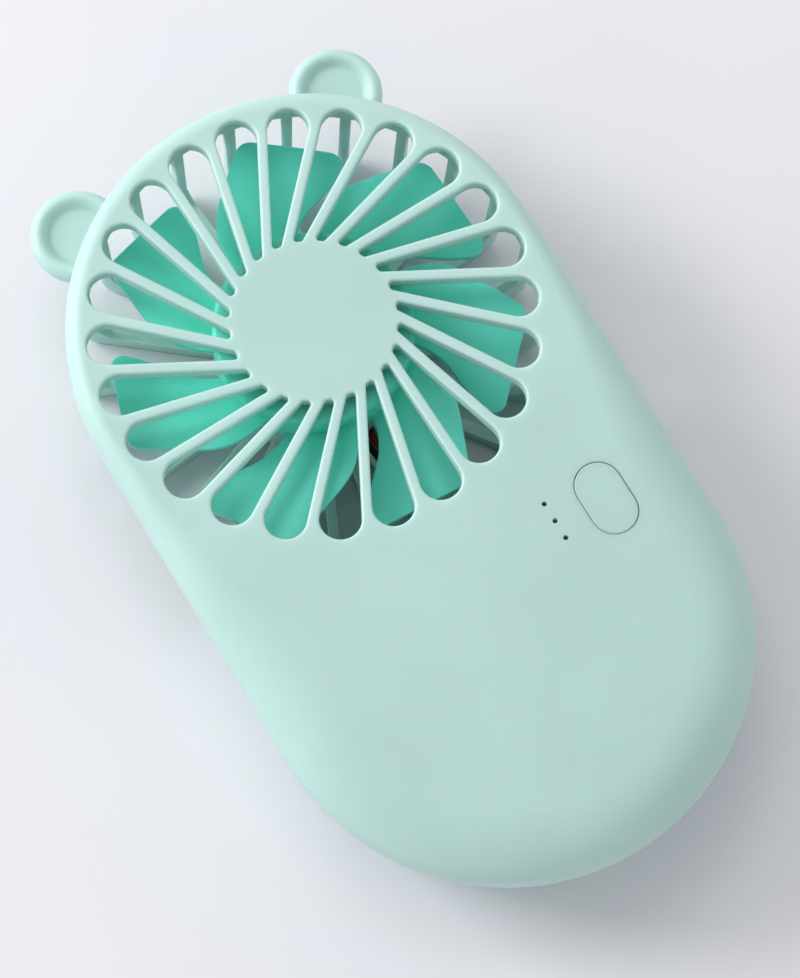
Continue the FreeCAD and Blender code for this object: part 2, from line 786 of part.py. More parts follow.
def armature_core():
    """The laminated rotor: a round middle with three teeth that end in curved poles."""
    low = armature_low_z
    high = armature_high_z
    half = tooth_width / 2
    pieces = [cylinder(armature_core_radius, low, high)]
    pole = shell_arc(armature_radius, pole_thickness, low, high, pole_span)
    tooth = block(0, armature_radius - pole_thickness / 2, -half, half, low, high)
    for k in range(armature_teeth):
        pieces += [turned(s, 360.0 / armature_teeth * k) for s in (pole, tooth)]
    return union(pieces).cut(cylinder(shaft_radius, low - 1, high + 1))


def armature_windings():
    """One coil of enamelled wire round each tooth."""
    low = armature_low_z - winding_thickness / 2
    high = armature_high_z + winding_thickness / 2
    half = tooth_width / 2 + winding_thickness
    near = armature_core_radius + winding_core_gap
    far = armature_radius - pole_thickness - winding_pole_gap - winding_length
    coil = block(near, far, -half, half, low, high)
    ends = [e for e in coil.Edges if abs(e.tangentAt(e.FirstParameter).x) > 0.99]
    coil = coil.makeFillet(winding_round, ends)
    half = tooth_width / 2
    coil = coil.cut(block(0, 2 * far, -half, half, armature_low_z, armature_high_z))
    return Part.makeCompound([turned(coil, 360.0 / armature_teeth * k) for k in range(armature_teeth)])


def commutator():
    low = commutator_z
    high = low + commutator_length
    half = commutator_slit / 2
    slit_start = (shaft_radius + commutator_radius) / 2
    slit = block(slit_start, commutator_radius + 1, -half, half, low - 1, high + 1)
    cuts = [turned(slit, 360.0 / armature_teeth * (k + 0.5)) for k in range(armature_teeth)]
    return tube(commutator_radius, shaft_radius, low, high).cut(cuts)


def motor_brushes():
    """Two springy strips, one each side of the commutator."""
    low = commutator_z + (commutator_length - brush_width) / 2
    near = commutator_radius + brush_gap
    strip = block(near, near + brush_sheet, -brush_back, brush_front, low, low + brush_width)
    return Part.makeCompound([strip, turned(strip, 180)])


def motor_terminals():
    """Two flat tabs through the end cap; a lead is soldered to each under the motor."""
    size = (terminal_width, terminal_sheet, end_cap_thickness + terminal_stand)
    return Part.makeCompound([centred_block(size, side * terminal_reach, 0, motor_z) for side in (-1, 1)])


# ------------------------------------------------------------------ impeller
def blade_section(x, rear_y, front_y, front_edge_z, rise):
    """A thin cambered strip across the blade at one distance, its counter-clockwise edge in front."""
    lift = V(0, 0, blade_thickness / 2)
    points = []
    for s in (0.0, 0.25, 0.5, 0.75, 1.0):
        z = front_edge_z - rise * (1 - s) + 4 * blade_camber * s * (1 - s)
        points.append(V(x, rear_y + s * (front_y - rear_y), z))
    top = smooth([p + lift for p in points])
    under = smooth([p - lift for p in reversed(points)])
    front = Part.makeLine(points[-1] + lift, points[-1] - lift)
    rear = Part.makeLine(points[0] - lift, points[0] + lift)
    return Part.Wire([top, front, under, rear])


def smooth(points):
    curve = Part.BSplineCurve()
    curve.interpolate(points)
    return curve.toShape()


def blade_outline():
    """The blade seen from the front, along +X, as an upright prism with its tip corners rounded."""
    length = blade_tip_radius - hub_radius
    bulge = blade_front_bulge - blade_front_tip
    fall = blade_rear_root - blade_rear_tip
    front = [V(0.6 * hub_radius, 0.65 * hub_radius, 0), V(hub_radius - blade_edge_start, blade_front_root, 0)]
    for share, lean in ((0.17, 1.0), (0.46, 0.75), (0.82, 0.27), (1.0, 0.0)):
        front.append(V(hub_radius + share * length, blade_front_tip + lean * bulge, 0))
    rear = []
    for share, lean in ((0.91, 0.0), (0.85, 0.09), (0.56, 0.43), (0.30, 0.81), (0.0, 1.0)):
        rear.append(V(hub_radius + share * length, blade_rear_tip + lean * fall, 0))
    rear.append(V(0.8 * hub_radius, blade_rear_root, 0))
    edges = [smooth(front), Part.makeLine(front[-1], rear[0]), smooth(rear), Part.makeLine(rear[-1], front[0])]
    prism_body = Part.Face(Part.Wire(edges)).extrude(V(0, 0, front_z))
    for corner, radius in ((front[-1], blade_front_corner), (rear[0], blade_rear_corner)):
        near = [e for e in prism_body.Edges if is_upright_at(e, corner)]
        prism_body = prism_body.makeFillet(radius, near)
    return prism_body


def is_upright_at(edge, corner):
    ends = [edge.Vertexes[0].Point, edge.Vertexes[-1].Point]
    return all(math.hypot(p.x - corner.x, p.y - corner.y) < 1e-6 for p in ends)


def blade():
    """A broad pitched paddle: a twisted sheet trimmed to the blade's outline."""
    spare = blade_sheet_spare
    near = 0.55 * hub_radius
    far = blade_tip_radius + spare
    root_front = blade_front_bulge + 2 * spare
    tip_z = blade_front_z - blade_tip_droop
    wires = [
        blade_section(near, blade_rear_root + spare, root_front, blade_front_z, blade_rise_root),
        blade_section(far, blade_rear_tip - spare, blade_front_tip + spare, tip_z, blade_rise_tip),
    ]
    sheet = Part.makeLoft(wires, True, False)
    return sheet.common(blade_outline()).cut(cylinder(hub_radius - hub_wall / 2, 0, front_z))


def impeller():
    hub = cylinder(hub_radius, hub_top_z - hub_skirt, hub_top_z)
    rim = [e for e in hub.Edges if abs(e.BoundBox.ZMin - hub_top_z) < 1e-5]
    hub = hub.makeFillet(hub_edge_round, rim)
    inside = cylinder(hub_radius - hub_wall, hub_top_z - hub_skirt - 1, hub_under_z)
    boss_low = motor_top_z + can_boss_height + shaft_boss_gap
    boss = cylinder(shaft_boss_radius, boss_low, hub_under_z + hub_plate / 2)
    paddle = blade()
    pitch = 360.0 / blade_count
    blades = [turned(paddle, blade_first_angle + pitch * k) for k in range(blade_count)]
    whole = union([hub.cut(inside), boss] + blades)
    return whole.cut(cylinder(shaft_radius, shaft_low_z, shaft_high_z))


# ------------------------------------------------------------------ circuit board
def circuit_board():
    outline = [
        V(board_left, board_top_y, 0),
        V(board_right, board_top_y, 0),
        V(board_right, board_step_y, 0),
        V(board_tongue, board_step_y, 0),
        V(board_tongue, board_foot_y, 0),
        V(-board_tongue, board_foot_y, 0),
        V(-board_tongue, board_step_y, 0),
        V(board_left, board_step_y, 0),
    ]
    board = prism(outline, board_under_z, board_z)
    hole = board_screw_radius + screw_clearance
    return board.cut([cylinder(hole, board_under_z - 1, board_z + 1, x, y) for x, y in board_screw_places])


def status_lights():
    return Part.makeCompound([centred_block(light_size, x, y, board_z) for x, y in light_places()])


def board_chips():
    charger = centred_block(charger_chip, charger_x, board_top_y - charger_drop, board_z)
    driver = centred_block(mosfet_chip, mosfet_x, board_top_y - mosfet_drop, board_z)
    return Part.makeCompound([charger, driver])


def board_passives():
    parts = []
    for k in range(resistor_count):
        x = resistor_x - resistor_pitch * k
        parts.append(centred_block(resistor_size, x, board_top_y - resistor_drop, board_z))
    for k in range(capacitor_count):
        x = capacitor_x + capacitor_pitch * k
        y = board_step_y - capacitor_drop - capacitor_size[1] * 2.5 * k
        parts.append(centred_block(capacitor_size, x, y, board_z))
    return Part.makeCompound(parts)


def usb_shell():
    """The folded steel shell of the charging socket, under the board's narrow end."""
    low = board_under_z - usb_height
    outer = block(-usb_width / 2, usb_width / 2, usb_mouth_y, usb_mouth_y + usb_length, low, board_under_z)
    along = [e for e in outer.Edges if abs(e.tangentAt(e.FirstParameter).y) > 0.99]
    outer = outer.makeFillet(usb_corner, along)
    hollow = block(
        -usb_width / 2 + usb_sheet,
        usb_width / 2 - usb_sheet,
        usb_mouth_y - 1,
        usb_mouth_y + usb_length - usb_back,
        low + usb_sheet,
        board_under_z - usb_sheet,
    )
    along = [e for e in hollow.Edges if abs(e.tangentAt(e.FirstParameter).y) > 0.99]
    return outer.cut(hollow.makeFillet(usb_corner - usb_sheet, along))


def usb_tongue():
    """The insulating tongue that carries the contacts inside the socket."""
    low = board_under_z - usb_height + usb_tongue_lift
    return block(
        -usb_tongue_width / 2,
        usb_tongue_width / 2,
        usb_mouth_y + usb_tongue_set_back,
        usb_mouth_y + usb_length - usb_back,
        low,
        low + usb_tongue_thickness,
    )


# ------------------------------------------------------------------ battery
def battery_pouch():
    half = battery_width / 2
    cell = block(-half, half, battery_foot_y, battery_top_y, battery_z, battery_top_z)
    along = [e for e in cell.Edges if abs(e.tangentAt(e.FirstParameter).y) > 0.99]
    return cell.makeFillet(battery_round, along)


def battery_guard_board():
    """The little protection board on the tab end of the cell."""
    half = battery_width * guard_board_share / 2
    low = battery_z + (battery_thickness - guard_board_height) / 2
    high = low + guard_board_height
    return block(-half, half, battery_top_y, battery_top_y + guard_board_thickness, low, high)


def battery_pads():
    size = (battery_width * pad_width_share, battery_length * pad_length_share, battery_pad)
    middle_y = (battery_top_y + battery_foot_y) / 2
    reach = battery_width * pad_offset_share
    return Part.makeCompound([centred_block(size, side * reach, middle_y, rear_floor) for side in (-1, 1)])


# ------------------------------------------------------------------ fasteners
def screw(head_radius, head_height, radius, length):
    """A pan-head self-tapping screw with a cross recess, head down, seated at z = 0."""
    head = cylinder(head_radius, -head_height, 0)
    rim = [e for e in head.Edges if abs(e.BoundBox.ZMax + head_height) < 1e-5]
    head = head.makeFillet(screw_edge_round, rim)
    shank = cylinder(radius, 0, length - radius)
    tip = Part.makeCone(radius, radius * 0.45, radius, V(0, 0, length - radius), Z_AXIS)
    reach = head_radius * 0.62
    floor = -head_height * 0.45
    half = recess_width / 2
    recess = [
        block(-reach, reach, -half, half, -head_height - 1, floor),
        block(-half, half, -reach, reach, -head_height - 1, floor),
    ]
    return union([head, shank, tip]).cut(recess)


def shell_screws():
    screws = []
    for x, y in screw_places():
        one = screw(screw_head_radius, screw_head_height, screw_radius, screw_length)
        one.translate(V(x, y, screw_seat))
        screws.append(one)
    return Part.makeCompound(screws)


def board_screws():
    screws = []
    for x, y in board_screw_places:
        one = screw(board_screw_head_radius, board_screw_head_height, board_screw_radius, board_screw_length)
        one.translate(V(x, y, board_under_z))
        screws.append(one)
    return Part.makeCompound(screws)


# ------------------------------------------------------------------ leads
def lead(points):
    """A round lead along straight runs joined by tangent arcs, each as large as its runs allow."""
    path = []
    start = points[0]
    for before, corner, after in zip(points, points[1:], points[2:]):
        run_in = (corner - before).Length
        run_out = (after - corner).Length
        into = (corner - before).normalize()
        out = (after - corner).normalize()
        turn = into.getAngle(out)
        reach = 0.45 * min(run_in, run_out)
        radius = reach / math.tan(turn / 2)
        first = corner - into * reach
        last = corner + out * reach
        bisector = (out - into).normalize()
        middle = corner + bisector * (math.hypot(radius, reach) - radius)
        path.append(Part.LineSegment(start, first).toShape())
        path.append(Part.Arc(first, middle, last).toShape())
        start = last
    path.append(Part.LineSegment(start, points[-1]).toShape())
    spine = Part.Wire(path)
    tangent = (points[1] - points[0]).normalize()
    ring = Part.Wire([Part.makeCircle(lead_radius, points[0], tangent)])
    return spine.makePipeShell([ring], True, False)


def motor_lead(side):
    """From a motor tab along the duct, up behind the chamber wall and over to the board."""
    angle = duct_angle()
    low = duct_floor + lead_radius + lead_floor_gap
    shift = polar(side * lead_spacing / 2, angle + 90)
    tab = V(side * terminal_reach, 0, low)
    turn_in = polar(lead_turn_in, angle, low) + shift
    at_wall = polar(nest_radius + motor_lead_wall_gap, angle, low) + shift
    rise = V(at_wall.x, at_wall.y, (battery_top_z + board_under_z) / 2)
    over = V(at_wall.x, board_top_y - motor_lead_inset, rise.z)
    pad = V(over.x, over.y, board_under_z)
    return lead([tab, turn_in, at_wall, rise, over, pad])


def battery_lead(side):
    """From the protection board up to the edge of the main board."""
    x = battery_lead_x + side * lead_spacing
    start = V(x, battery_top_y + guard_board_thickness, battery_z + battery_thickness / 2)
    turn_up = V(x, start.y + battery_lead_reach, start.z)
    rise = V(x, turn_up.y, board_under_z - battery_lead_reach)
    over = V(x, board_top_y - battery_lead_inset, rise.z)
    pad = V(x, over.y, board_under_z)
    return lead([start, turn_up, rise, over, pad])


# ------------------------------------------------------------------ export
os.makedirs("parts", exist_ok=True)
export(front_shell(), "front_shell")
export(rear_shell(), "rear_shell")
export(power_button(), "power_button")
export(switch_body(), "switch_body")
export(switch_plunger(), "switch_plunger")
export(switch_terminals(), "switch_terminals")
export(impeller(), "impeller")
export(motor_can(), "motor_can")
export(motor_end_cap(), "motor_end_cap")
export(motor_bushes(), "motor_bushes")
export(motor_shaft(), "motor_shaft")
export(motor_magnets(), "motor_magnets")
export(armature_core(), "armature_core")
export(armature_windings(), "armature_windings")
export(commutator(), "commutator")
export(motor_brushes(), "motor_brushes")
export(motor_terminals(), "motor_terminals")
export(circuit_board(), "circuit_board")
export(status_lights(), "status_lights")
export(board_chips(), "board_chips")
export(board_passives(), "board_passives")
export(usb_shell(), "usb_shell")
export(usb_tongue(), "usb_tongue")
export(battery_pouch(), "battery_pouch")
export(battery_guard_board(), "battery_guard_board")
export(battery_pads(), "battery_pads")
export(shell_screws(), "shell_screws")
export(board_screws(), "board_screws")
export(motor_lead(-1), "motor_lead_black")
export(motor_lead(1), "motor_lead_red")
export(battery_lead(-1), "battery_lead_black")
export(battery_lead(1), "battery_lead_red")
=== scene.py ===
import math
import bmesh
import bpy
from mathutils import Matrix, Quaternion, Vector


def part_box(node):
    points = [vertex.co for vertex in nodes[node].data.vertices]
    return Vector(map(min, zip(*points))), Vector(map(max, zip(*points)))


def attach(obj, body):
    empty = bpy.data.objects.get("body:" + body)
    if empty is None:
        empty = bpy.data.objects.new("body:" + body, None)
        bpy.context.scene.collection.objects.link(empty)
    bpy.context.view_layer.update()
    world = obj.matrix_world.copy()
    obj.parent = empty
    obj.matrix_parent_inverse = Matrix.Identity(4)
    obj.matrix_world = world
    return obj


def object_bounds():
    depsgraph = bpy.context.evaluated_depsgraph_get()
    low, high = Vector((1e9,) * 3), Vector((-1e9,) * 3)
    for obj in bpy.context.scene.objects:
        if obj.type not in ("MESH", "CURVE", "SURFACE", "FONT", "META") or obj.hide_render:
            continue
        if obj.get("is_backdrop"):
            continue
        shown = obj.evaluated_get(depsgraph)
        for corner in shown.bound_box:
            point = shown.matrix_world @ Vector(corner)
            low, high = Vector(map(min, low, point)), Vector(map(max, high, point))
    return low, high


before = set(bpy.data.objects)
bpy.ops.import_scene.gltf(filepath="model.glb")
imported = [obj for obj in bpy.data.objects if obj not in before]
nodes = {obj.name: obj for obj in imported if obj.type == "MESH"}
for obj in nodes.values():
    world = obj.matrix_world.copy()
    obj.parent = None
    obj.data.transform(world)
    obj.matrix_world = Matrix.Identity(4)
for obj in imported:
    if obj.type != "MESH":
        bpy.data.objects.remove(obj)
cad_low, cad_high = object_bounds()

# ------------------------------------------------------------------ front shell
# The front half of the body with the swirl grille and the two ear discs, one shot of ABS.
# The mould was spark-eroded to a fine satin, so the pale mint has no gloss, only soft wide highlights.
MM = 0.001


def linear(code):
    """Turns an sRGB hex colour into the linear colour that a shader takes."""
    parts = [int(code[k:k + 2], 16) / 255 for k in (0, 2, 4)]
    return tuple(p / 12.92 if p <= 0.04045 else ((p + 0.055) / 1.055) ** 2.4 for p in parts) + (1.0,)


def add_node(material, kind, inputs, **settings):
    """Adds one shader node with its settings; each input is a value or another node's output."""
    tree = material.node_tree
    made = tree.nodes.new("ShaderNode" + kind)
    for name, value in settings.items():
        setattr(made, name, value)
    for name, value in inputs.items():
        if isinstance(value, bpy.types.NodeSocket):
            tree.links.new(value, made.inputs[name])
        else:
            made.inputs[name].default_value = value
    return made


def start_material(name):
    """A new material with its shader and the object coordinates that its patterns follow."""
    material = bpy.data.materials.new(name)
    material.use_nodes = True
    shader = material.node_tree.nodes["Principled BSDF"]
    place = add_node(material, "TexCoord", {}).outputs["Object"]
    return material, shader, place


def set_shader(material, shader, **inputs):
    """Sets the shader's inputs, as values or links; words of a name are joined by underscores."""
    for name, value in inputs.items():
        socket = shader.inputs[name.replace("_", " ")]
        if isinstance(value, bpy.types.NodeSocket):
            material.node_tree.links.new(value, socket)
        else:
            socket.default_value = value


def grain(material, place, size, detail=2.0):
    """Noise with blotches of about the given size in metres."""
    return add_node(material, "TexNoise", {"Vector": place, "Scale": 1 / size, "Detail": detail})


def blend_colours(material, share, first, second):
    """A colour that goes from the first to the second as share goes from 0 to 1."""
    mix = add_node(material, "Mix", {"Factor": share}, data_type="RGBA")
    mix.inputs[6].default_value = linear(first)
    mix.inputs[7].default_value = linear(second)
    return mix.outputs[2]


def spread(material, share, low=0.3, high=0.7, to_low=0.0, to_high=1.0):
    """Maps share from low..high, where nearly all of a noise pattern lies, to another range."""
    ranges = {"Value": share, "From Min": low, "From Max": high, "To Min": to_low, "To Max": to_high}
    return add_node(material, "MapRange", ranges).outputs["Result"]


def bump(material, height, distance, strength=1.0):
    """Turns a height pattern into a surface relief that is distance metres deep."""
    relief = {"Height": height, "Distance": distance, "Strength": strength}
    return add_node(material, "Bump", relief).outputs["Normal"]


def moulded_abs(name, colour, second_colour):
    """Satin moulded ABS, or a like hard moulding: faint flow marks and the grain of an eroded mould."""
    material, shader, place = start_material(name)
    flow = grain(material, place, 22 * MM, 1.0).outputs["Fac"]
    sparks = grain(material, place, 0.32 * MM, 1.0).outputs["Fac"]
    handling = grain(material, place, 5 * MM, 3.0).outputs["Fac"]
    tone = spread(material, flow, low=0.35, high=0.65)
    set_shader(
        material,
        shader,
        Base_Color=blend_colours(material, tone, colour, second_colour),
        Roughness=spread(material, handling, to_low=0.46, to_high=0.54),
        Normal=bump(material, sparks, 0.006 * MM),
        IOR=1.53,
        Specular_IOR_Level=0.65,
        Subsurface_Weight=0.6,
        Subsurface_Radius=(0.9, 1.0, 0.97),
        Subsurface_Scale=3.0 * MM,
    )
    return material


def finish_node(name, material):
    """Gives one CAD node its material."""
    for slot in nodes[name].material_slots:
        slot.material = material


mint_abs = moulded_abs("moulded_abs_pastel_mint", "b3d2cc", "afcec8")
finish_node("front_shell", mint_abs)

# ------------------------------------------------------------------ rear shell
# The battery tray and the open basket of ribs behind the impeller, moulded from the same mint ABS.
# Four screws from the back pull it up against the front shell.
finish_node("rear_shell", mint_abs)

# ------------------------------------------------------------------ power button
# A separate pill-shaped cap that floats flush in its hole, held by a flange behind the face.
finish_node("power_button", moulded_abs("moulded_abs_button_mint", "b2d1cb", "aecdc7"))

# ------------------------------------------------------------------ impeller
# One moulding of turquoise polypropylene: a cup that is pressed on the motor shaft, and seven blades.
# Polypropylene is a little waxy, so light goes some way into it and its highlights are soft.


def moulded_polypropylene(name, colour, second_colour):
    """Waxy moulded polypropylene with faint flow lines that the eye sees as small changes of tone."""
    material, shader, place = start_material(name)
    flow = grain(material, place, 9 * MM, 2.0).outputs["Fac"]
    skin = grain(material, place, 0.5 * MM, 1.0).outputs["Fac"]
    set_shader(
        material,
        shader,
        Base_Color=blend_colours(material, spread(material, flow), colour, second_colour),
        Roughness=spread(material, flow, to_low=0.40, to_high=0.50),
        Normal=bump(material, skin, 0.005 * MM),
        IOR=1.49,
        Subsurface_Weight=0.55,
        Subsurface_Radius=(0.6, 1.0, 0.9),
        Subsurface_Scale=2.2 * MM,
    )
    return material


finish_node("impeller", moulded_polypropylene("moulded_polypropylene_turquoise", "6ee8d4", "62e2ca"))


# ------------------------------------------------------------------ motor can
# A deep-drawn steel cup with a bright zinc plate, its round edge turned over the motor's front.
# Drawing leaves faint lines round its axis; it is pressed into the cup on the rear shell.
motor_axis_y = (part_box("motor_shaft")[0].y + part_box("motor_shaft")[1].y) / 2


def metal(name, colour, second_colour, roughness, relief=None, depth=0.004 * MM):
    """Bare or plated metal with small changes of tone and gloss, and a relief if one is given."""
    material, shader, place = start_material(name)
    tint = grain(material, place, 4 * MM, 2.0).outputs["Fac"]
    wear = grain(material, place, 0.7 * MM, 3.0).outputs["Fac"]
    tone = spread(material, tint, low=0.35, high=0.65)
    height = relief(material, place) if relief else wear
    set_shader(
        material,
        shader,
        Base_Color=blend_colours(material, tone, colour, second_colour),
        Metallic=1.0,
        Roughness=spread(material, wear, to_low=roughness - 0.05, to_high=roughness + 0.07),
        Normal=bump(material, height, depth),
    )
    return material


def drawn_lines(material, place):
    """Fine lines round the Z axis, as drawing or turning leaves them."""
    squeezed = add_node(material, "Mapping", {"Vector": place, "Scale": (0.1, 0.1, 1.0)}).outputs["Vector"]
    return grain(material, squeezed, 0.35 * MM, 2.0).outputs["Fac"]


finish_node("motor_can", metal("drawn_steel_zinc_plated", "d4d6d8", "c6c9cc", 0.30, drawn_lines))

# ------------------------------------------------------------------ motor end cap
# A moulded disc of natural white nylon that closes the can and carries the rear bush and both tabs.
finish_node("motor_end_cap", moulded_abs("moulded_nylon_natural", "e8e6de", "e2dfd5"))

# ------------------------------------------------------------------ motor bushes
# Two rings of oil-filled sintered bronze, one in the end cap and one in the can's boss.
# The sintered powder leaves an open, slightly rough skin.
finish_node("motor_bushes", metal("sintered_bronze", "b08a55", "96713f", 0.45, depth=0.012 * MM))

# ------------------------------------------------------------------ motor shaft
# A ground steel pin, the brightest metal of the motor, pressed into the armature and the impeller.
finish_node("motor_shaft", metal("ground_shaft_steel", "e0e1e2", "d6d8da", 0.16, drawn_lines, 0.001 * MM))

# ------------------------------------------------------------------ motor magnets
# Two arcs of pressed dark ferrite, glued inside the can.
finish_node("motor_magnets", moulded_abs("pressed_ferrite", "3a3a3d", "303033"))


# ------------------------------------------------------------------ armature core
# A stack of stamped silicon-steel sheets; their edges show as fine lines round every tooth.
WAVE_LENGTH = 0.32                # a wave pattern of scale 1 repeats after about this many metres
sheet_thickness = 0.35 * MM


def stacked_sheets(material, place):
    """Even bands across the Z axis, one for each stamped sheet."""
    waves = {"Vector": place, "Scale": WAVE_LENGTH / sheet_thickness, "Distortion": 0.0}
    return add_node(material, "TexWave", waves, wave_type="BANDS", bands_direction="Z").outputs["Fac"]


silicon_steel = metal("stamped_silicon_steel", "8c8f94", "777a80", 0.42, stacked_sheets, 0.03 * MM)
finish_node("armature_core", silicon_steel)


# ------------------------------------------------------------------ armature windings
# Three coils of enamelled copper wire, wound turn beside turn round the teeth.
wire_thickness = 0.3 * MM


def wound_turns(material, place):
    """Rings round the motor's axis, which cross each coil as its turns of wire do."""
    centred = add_node(material, "Mapping", {"Vector": place, "Location": (0.0, -motor_axis_y, 0.0)})
    waves = {
        "Vector": centred.outputs["Vector"],
        "Scale": WAVE_LENGTH / wire_thickness,
        "Distortion": 0.4,
        "Detail Scale": 900.0,
    }
    return add_node(material, "TexWave", waves, wave_type="RINGS", rings_direction="Z").outputs["Fac"]


copper_wire = metal("enamelled_copper_wire", "c9702f", "b65f27", 0.24, wound_turns, 0.06 * MM)
finish_node("armature_windings", copper_wire)

# ------------------------------------------------------------------ commutator and brushes
# The commutator is a turned copper drum in three segments; the brushes are phosphor-bronze strips.
finish_node("commutator", metal("turned_copper", "d08a58", "bd7746", 0.28, drawn_lines))
finish_node("motor_brushes", metal("phosphor_bronze_strip", "cf9a62", "be8850", 0.30))

# ------------------------------------------------------------------ tinned and nickel-plated small parts
# The motor's two solder tabs, the switch's four legs and the charging socket's folded shell.
nickel = metal("nickel_plated_sheet", "dadad6", "d0d0cb", 0.22)
for name in ("motor_terminals", "switch_terminals", "usb_shell"):
    finish_node(name, nickel)


# ------------------------------------------------------------------ shell screws and board screws
# Pan-head self-tapping screws with a bright zinc plate; the thread is rolled on, the head is smooth.
thread_run_in = 0.1 * MM
shell_head_height = 1.3 * MM
board_head_height = 1.0 * MM
shell_thread_pitch = 0.8 * MM
board_thread_pitch = 0.6 * MM


def rolled_thread(pitch, head_end):
    """A relief of rings along Z with the given pitch, which starts where the head ends."""

    def relief(material, place):
        """The rings of the thread, fading in below the head."""
        height = add_node(material, "SeparateXYZ", {"Vector": place}).outputs["Z"]
        waves = {"Vector": place, "Scale": WAVE_LENGTH / pitch, "Distortion": 0.0}
        bands = add_node(material, "TexWave", waves, wave_type="BANDS", bands_direction="Z").outputs["Fac"]
        past_head = spread(material, height, head_end, head_end + thread_run_in)
        return add_node(material, "Math", {0: bands, 1: past_head}, operation="MULTIPLY").outputs["Value"]

    return relief


shell_thread = rolled_thread(shell_thread_pitch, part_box("shell_screws")[0].z + shell_head_height)
board_thread = rolled_thread(board_thread_pitch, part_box("board_screws")[0].z + board_head_height)
shell_zinc = metal("zinc_plated_shell_screw", "d2d4d6", "c2c5c8", 0.30, shell_thread, 0.12 * MM)
board_zinc = metal("zinc_plated_board_screw", "d2d4d6", "c2c5c8", 0.30, board_thread, 0.08 * MM)
finish_node("shell_screws", shell_zinc)
finish_node("board_screws", board_zinc)


# ------------------------------------------------------------------ circuit board
# Glass-epoxy laminate under a green solder mask; the woven glass shows faintly through the mask.
# Each of the four leads ends in a joint of solder on the underside.
weave_pitch = 1.2 * MM
solder_tip_radius = 0.55 * MM
solder_waist_radius = 0.6 * MM
solder_pad_radius = 0.62 * MM
solder_waist_drop = 0.35 * MM
solder_tip_drop = 0.7 * MM
top_face_depth = 0.02 * MM        # how far below its highest point a lead's end face may reach


def board_laminate():
    """Green solder mask over glass cloth, whose weave shows as a faint relief."""
    material, shader, place = start_material("glass_epoxy_solder_mask")
    weave = {"Vector": place, "Scale": 1 / weave_pitch, "Mortar Size": 0.06}
    cloth = add_node(material, "TexBrick", weave).outputs["Fac"]
    flow = grain(material, place, 6 * MM, 2.0).outputs["Fac"]
    set_shader(
        material,
        shader,
        Base_Color=blend_colours(material, spread(material, flow), "1d6b43", "195e3b"),
        Roughness=spread(material, flow, to_low=0.26, to_high=0.36),
        Normal=bump(material, cloth, 0.004 * MM),
        Coat_Weight=0.3,
    )
    return material


def new_piece(name, mesh, material, smooth=False):
    """Turns a finished mesh, made in place, into a piece of the housing."""
    data = bpy.data.meshes.new(name)
    for face in mesh.faces:
        face.smooth = smooth
    mesh.to_mesh(data)
    mesh.free()
    data.materials.append(material)
    piece = bpy.data.objects.new(name, data)
    bpy.context.scene.collection.objects.link(piece)
    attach(piece, "housing")
    return piece


def add_cone(mesh, centre, low_radius, high_radius, low_z, high_z):
    """An upright cone or disc between two heights."""
    place = Matrix.Translation((centre.x, centre.y, (low_z + high_z) / 2))
    bmesh.ops.create_cone(
        mesh,
        cap_ends=True,
        segments=32,
        radius1=low_radius,
        radius2=high_radius,
        depth=high_z - low_z,
        matrix=place,
    )


def add_box(mesh, low, high):
    """A box between two corners."""
    middle = (Vector(low) + Vector(high)) / 2
    size = Vector(high) - Vector(low)
    place = Matrix.Translation(middle) @ Matrix.Diagonal((*size, 1.0))
    bmesh.ops.create_cube(mesh, size=1.0, matrix=place)


def top_centre(name):
    """The middle of a node's highest face."""
    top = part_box(name)[1].z
    points = [v.co for v in nodes[name].data.vertices if v.co.z > top - top_face_depth]
    return sum(points, Vector()) / len(points)


finish_node("circuit_board", board_laminate())
tinned = metal("tinned_solder", "cfd1d3", "bfc2c5", 0.25)
board_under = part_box("circuit_board")[0].z
solder = bmesh.new()
for name in ("motor_lead_red", "motor_lead_black", "battery_lead_red", "battery_lead_black"):
    joint = top_centre(name)
    tip = board_under - solder_tip_drop
    waist = board_under - solder_waist_drop
    add_cone(solder, joint, solder_tip_radius, solder_waist_radius, tip, waist)
    add_cone(solder, joint, solder_waist_radius, solder_pad_radius, waist, board_under)
new_piece("solder_joints", solder, tinned, smooth=True)


# ------------------------------------------------------------------ chips, resistors and capacitors
# Black moulded packages with tinned legs bent down to the board, and a pin-one dimple on each, painted
# lighter as a painted sheen.
# The resistors and capacitors are ceramic blocks with tinned ends.
leg_pitch = 1.27 * MM
leg_reach = 0.8 * MM
leg_half_width = 0.2 * MM
leg_riser = 0.25 * MM
leg_foot = 0.15 * MM
dimple_radius = 0.22 * MM
dimple_inset = Vector((0.55 * MM, 0.5 * MM, 0.0))
dimple_proud = 0.01 * MM
plating = 0.015 * MM
end_share = 0.22                  # the part of a block's length under each tinned end


def solid_boxes(name):
    """The lowest and highest corners of each separate solid in a CAD node, in a steady order."""
    mesh = bmesh.new()
    mesh.from_mesh(nodes[name].data)
    bmesh.ops.remove_doubles(mesh, verts=mesh.verts, dist=0.001 * MM)
    waiting = set(mesh.verts)
    boxes = []
    while waiting:
        group = [waiting.pop()]
        for vert in group:
            fresh = {edge.other_vert(vert) for edge in vert.link_edges} & waiting
            waiting -= fresh
            group += fresh
        places = [[vert.co[axis] for vert in group] for axis in range(3)]
        boxes.append((Vector(map(min, places)), Vector(map(max, places))))
    mesh.free()
    return sorted(boxes, key=lambda pair: tuple(pair[0]))


